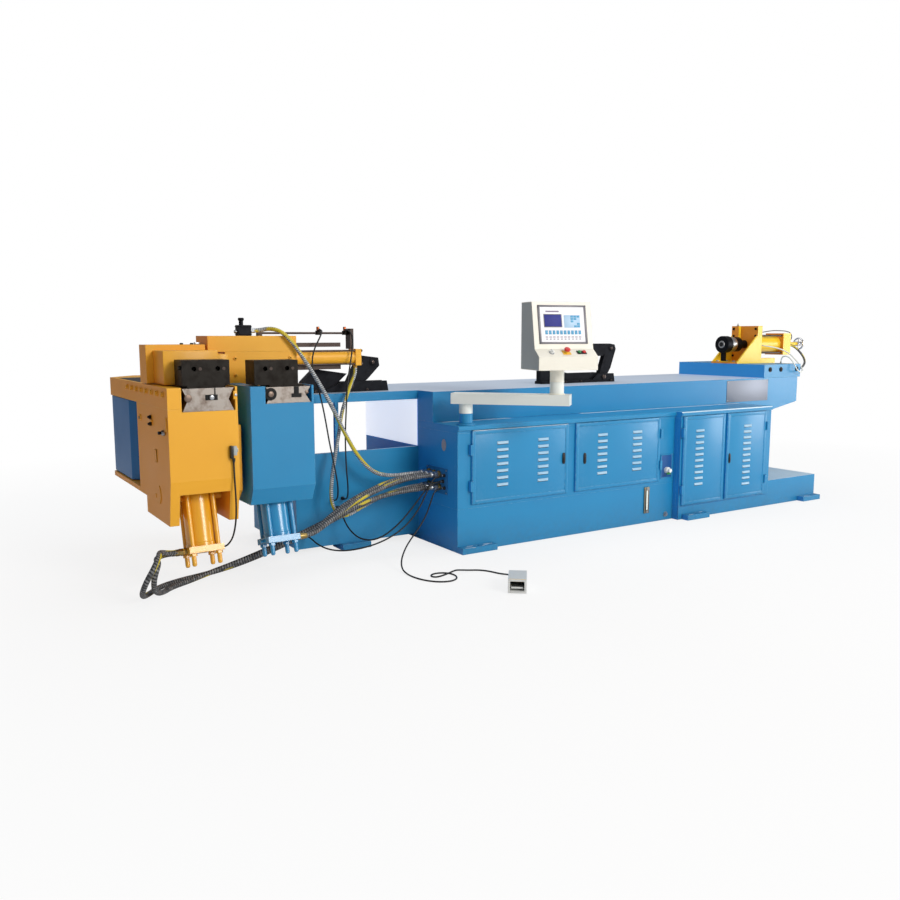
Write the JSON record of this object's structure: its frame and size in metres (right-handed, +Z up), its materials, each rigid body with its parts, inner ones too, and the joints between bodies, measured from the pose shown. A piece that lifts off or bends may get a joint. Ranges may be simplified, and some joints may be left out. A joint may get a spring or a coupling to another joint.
{
  "type": "tube bending machine",
  "caption": "Long blue hydraulic tube bending machine: cabinets with louvred doors, a yellow swing-arm bending head, a swivelling operator console and a mandrel cylinder at the far end.",
  "frame": {"origin": "on the floor, under the middle of the footprint", "axes": "+X runs along the machine to its mandrel end, +Y runs to its back and +Z is up"},
  "size_m": [6.6587, 2.5889, 1.6358],
  "materials": {
    "black_rubber": "matt",
    "black_steel": "satin",
    "chrome_plate": "polished",
    "console_cream": "satin",
    "machine_blue": "gloss",
    "machine_yellow": "gloss",
    "machined_steel": "satin",
    "pedal_grey": "satin"
  },
  "bodies": {
    "root": {"beam_chest": "machine_blue", "beam_frame": "machine_blue", "bend_spindle": "machined_steel", "booster_cylinder": "machine_yellow", "booster_guides": "machined_steel", "booster_hose": "black_rubber", "cabinet_walls": "machine_blue", "clamp_hose": "black_rubber", "clamp_return_hose": "black_rubber", "column_cable": "black_rubber", "console_pivot_post": "machine_blue", "door_frames": "machine_blue", "door_hinges": "machine_blue", "end_sensor_cable": "black_rubber", "fittings": "machined_steel", "floor_pads": "machine_blue", "foot_pedal": "pedal_grey", "ledge_deck": "machine_blue", "machine_base": "machine_blue", "mandrel_bracket": "machine_yellow", "mandrel_cable": "black_rubber", "mandrel_cylinder": "machine_yellow", "mandrel_hose": "black_rubber", "mandrel_line": "black_rubber", "pedal_cable": "black_rubber", "pressure_carriage": "machine_yellow", "pressure_cylinder": "machine_blue", "pressure_head": "machine_blue", "pressure_hose": "black_rubber", "pressure_return_hose": "black_rubber", "rear_block": "machine_blue", "sensor_cable": "black_rubber", "skirt_cable": "black_rubber", "spindle_housing": "machine_blue", "support_bases": "black_steel", "top_beam": "machine_yellow", "top_valve": "black_steel", "upper_bed": "machine_blue", "valve_hose": "black_rubber"},
    "swing_arm": {"arm_head": "machine_yellow", "arm_roof": "machine_yellow", "arm_sole": "machine_yellow", "clamp_cylinder": "machine_yellow", "arm_sensor": "machine_yellow", "arm_cable": "black_rubber"},
    "clamp_slide": {"clamp_slide": "machined_steel", "clamp_die_block": "black_steel", "clamp_box": "machine_yellow"},
    "pressure_slide": {"pressure_slide": "machined_steel", "pressure_die_block": "black_steel"},
    "console_arm": {"console_arm": "console_cream"},
    "console_box": {"console_case": "console_cream"},
    "door_1": {"door_1": "machine_blue"},
    "door_2": {"door_2": "machine_blue"},
    "door_3": {"door_3": "machine_blue"},
    "door_4": {"door_4": "machine_blue"},
    "support_a_lever": {"support_a_lever": "black_steel"},
    "support_b_lever": {"support_b_lever": "black_steel"},
    "mandrel_rod": {"mandrel_rod": "black_steel"},
    "handwheel": {"handwheel": "chrome_plate"}
  },
  "joints": [
    {"name": "arm_swing", "type": "hinge", "parent": "root", "child": "swing_arm", "pos_m": [-2.785, 0.6807, 0.8], "axis": [0, 0, -1], "range_deg": [0, 185], "deforming": ["clamp_hose", "clamp_return_hose"]},
    {"name": "clamp_stroke", "type": "slide", "parent": "swing_arm", "child": "clamp_slide", "axis": [0, 1, 0], "range_m": [0, 0.12]},
    {"name": "pressure_stroke", "type": "slide", "parent": "root", "child": "pressure_slide", "axis": [0, 1, 0], "range_m": [0, 0.12]},
    {"name": "console_arm_swing", "type": "hinge", "parent": "root", "child": "console_arm", "pos_m": [-1.26, -0.4573, 0.919], "axis": [0, 0, 1], "range_deg": [-80, 45]},
    {"name": "console_swivel", "type": "hinge", "parent": "console_arm", "child": "console_box", "pos_m": [-0.85216, -0.89465, 1.1], "axis": [0, 0, 1], "range_deg": [-60, 60]},
    {"name": "door_1_hinge", "type": "hinge", "parent": "root", "child": "door_1", "pos_m": [-1.261, -0.5438, 0.5], "axis": [0, 0, -1], "range_deg": [0, 95]},
    {"name": "door_2_hinge", "type": "hinge", "parent": "root", "child": "door_2", "pos_m": [0.473, -0.5438, 0.5], "axis": [0, 0, 1], "range_deg": [0, 95]},
    {"name": "door_3_hinge", "type": "hinge", "parent": "root", "child": "door_3", "pos_m": [0.667, -0.6038, 0.5], "axis": [0, 0, -1], "range_deg": [0, 95]},
    {"name": "door_4_hinge", "type": "hinge", "parent": "root", "child": "door_4", "pos_m": [1.645, -0.6038, 0.5], "axis": [0, 0, 1], "range_deg": [0, 95]},
    {"name": "support_a_fold", "type": "hinge", "parent": "root", "child": "support_a_lever", "pos_m": [-1.825, 0.1357, 1.09], "axis": [0, 1, 0], "range_deg": [0, 30]},
    {"name": "support_b_fold", "type": "hinge", "parent": "root", "child": "support_b_lever", "pos_m": [0.459, 0.1357, 1.09], "axis": [0, 1, 0], "range_deg": [0, 45]},
    {"name": "mandrel_stroke", "type": "slide", "parent": "root", "child": "mandrel_rod", "axis": [-1, 0, 0], "range_m": [0, 0.15]},
    {"name": "handwheel_turn", "type": "hinge", "parent": "root", "child": "handwheel", "pos_m": [3.135, 0.2357, 1.342], "axis": [1, 0, 0], "continuous": true}
  ]
}
